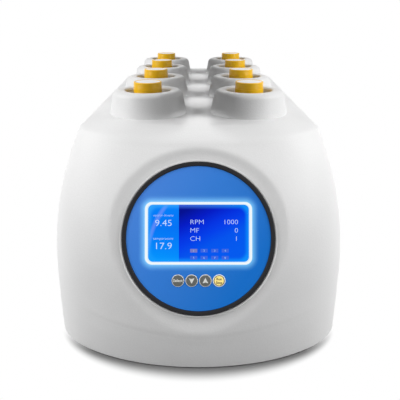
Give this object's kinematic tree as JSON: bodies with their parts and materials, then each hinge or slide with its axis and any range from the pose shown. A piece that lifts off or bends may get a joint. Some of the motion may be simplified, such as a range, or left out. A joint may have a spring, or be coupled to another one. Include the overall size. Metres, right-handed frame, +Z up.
{
  "type": "bench bioreactor",
  "caption": "Bench bioreactor with rows of capped culture tubes spun in wells on top of a rounded moulded housing, and a tilted round control dial with a lit display on its nose.",
  "frame": {"origin": "middle of the footprint on the bench", "axes": "+Z up, +Y from the dial to the rear panel, +X to the right as seen from the dial"},
  "size_m": [0.354, 0.6899, 0.3],
  "materials": {
    "housing_white": "fine satin moulding",
    "collar_grey": "finely pebbled matt moulding",
    "cap_yellow": "satin polypropylene",
    "tube_clear": "clear polypropylene",
    "holder_black": "black anodised",
    "block_black": "black anodised",
    "alloy": "as cast",
    "motor_steel": "brushed",
    "plate_steel": "grey powder coat",
    "board_green": "solder mask",
    "rubber_black": "matt",
    "port_black": "fine matt",
    "bezel_black": "satin",
    "fascia_blue": "smooth printed film",
    "light_white": "lit from behind",
    "display_blue": "lit display under clear glass",
    "key_grey": "satin",
    "key_cream": "satin",
    "screw_steel": "zinc plated"
  },
  "bodies": {
    "housing": {"body_shell": "housing_white", "top_deck": "housing_white", "base_plate": "plate_steel", "drive_chassis": "alloy", "thermo_blocks": "block_black", "heat_sinks": "alloy", "drive_motors": "motor_steel", "spindle_bearings": "motor_steel", "circuit_boards": "board_green", "power_supply": "plate_steel", "fan_housing": "port_black", "dial_bezel": "bezel_black", "fascia": "fascia_blue", "light_frame": "light_white", "lcd_module": "display_blue", "key_board": "board_green", "rear_panel": "plate_steel", "power_inlet": "port_black", "switch_housing": "port_black", "usb_port": "motor_steel", "feet": "rubber_black", "screws": "screw_steel", "well_collar_1": "collar_grey", "well_collar_2": "collar_grey", "well_collar_3": "collar_grey", "well_collar_4": "collar_grey", "well_collar_5": "collar_grey", "well_collar_6": "collar_grey", "well_collar_7": "collar_grey", "well_collar_8": "collar_grey"},
    "spinner_1": {"tube_holder_1": "holder_black", "tube_1": "tube_clear", "tube_cap_1": "cap_yellow"},
    "spinner_2": {"tube_holder_2": "holder_black", "tube_2": "tube_clear", "tube_cap_2": "cap_yellow"},
    "spinner_3": {"tube_holder_3": "holder_black", "tube_3": "tube_clear", "tube_cap_3": "cap_yellow"},
    "spinner_4": {"tube_holder_4": "holder_black", "tube_4": "tube_clear", "tube_cap_4": "cap_yellow"},
    "spinner_5": {"tube_holder_5": "holder_black", "tube_5": "tube_clear", "tube_cap_5": "cap_yellow"},
    "spinner_6": {"tube_holder_6": "holder_black", "tube_6": "tube_clear", "tube_cap_6": "cap_yellow"},
    "spinner_7": {"tube_holder_7": "holder_black", "tube_7": "tube_clear", "tube_cap_7": "cap_yellow"},
    "spinner_8": {"tube_holder_8": "holder_black", "tube_8": "tube_clear", "tube_cap_8": "cap_yellow"},
    "fan": {"fan_rotor": "port_black"},
    "select_button": {"key_select": "key_grey"},
    "down_button": {"key_down": "key_grey"},
    "up_button": {"key_up": "key_grey"},
    "run_button": {"key_run": "key_cream"},
    "rocker": {"switch_rocker": "port_black"}
  },
  "joints": [
    {"name": "spin_1", "type": "hinge", "parent": "housing", "child": "spinner_1", "pos_m": [-0.0637, -0.1715, 0.17], "axis": [0, 0, 1], "continuous": true},
    {"name": "spin_2", "type": "hinge", "parent": "housing", "child": "spinner_2", "pos_m": [0.0637, -0.1715, 0.17], "axis": [0, 0, 1], "continuous": true},
    {"name": "spin_3", "type": "hinge", "parent": "housing", "child": "spinner_3", "pos_m": [-0.0637, -0.0385, 0.17], "axis": [0, 0, 1], "continuous": true},
    {"name": "spin_4", "type": "hinge", "parent": "housing", "child": "spinner_4", "pos_m": [0.0637, -0.0385, 0.17], "axis": [0, 0, 1], "continuous": true},
    {"name": "spin_5", "type": "hinge", "parent": "housing", "child": "spinner_5", "pos_m": [-0.0637, 0.0945, 0.17], "axis": [0, 0, 1], "continuous": true},
    {"name": "spin_6", "type": "hinge", "parent": "housing", "child": "spinner_6", "pos_m": [0.0637, 0.0945, 0.17], "axis": [0, 0, 1], "continuous": true},
    {"name": "spin_7", "type": "hinge", "parent": "housing", "child": "spinner_7", "pos_m": [-0.0637, 0.2275, 0.17], "axis": [0, 0, 1], "continuous": true},
    {"name": "spin_8", "type": "hinge", "parent": "housing", "child": "spinner_8", "pos_m": [0.0637, 0.2275, 0.17], "axis": [0, 0, 1], "continuous": true},
    {"name": "fan_spin", "type": "hinge", "parent": "housing", "child": "fan", "pos_m": [0, 0.028, 0.02], "axis": [0, 0, 1], "continuous": true},
    {"name": "select_press", "type": "slide", "parent": "housing", "child": "select_button", "axis": [0, 0.9272, -0.3746], "range_m": [0, 0.0006], "stiffness_N_per_m": 500, "springref_m": -0.0004},
    {"name": "down_press", "type": "slide", "parent": "housing", "child": "down_button", "axis": [0, 0.9272, -0.3746], "range_m": [0, 0.0006], "stiffness_N_per_m": 500, "springref_m": -0.0004},
    {"name": "up_press", "type": "slide", "parent": "housing", "child": "up_button", "axis": [0, 0.9272, -0.3746], "range_m": [0, 0.0006], "stiffness_N_per_m": 500, "springref_m": -0.0004},
    {"name": "run_press", "type": "slide", "parent": "housing", "child": "run_button", "axis": [0, 0.9272, -0.3746], "range_m": [0, 0.0006], "stiffness_N_per_m": 500, "springref_m": -0.0004},
    {"name": "rocker_tilt", "type": "hinge", "parent": "housing", "child": "rocker", "pos_m": [-0.025, 0.333, 0.058], "axis": [-1, 0, 0], "range_deg": [-16, 0]}
  ]
}
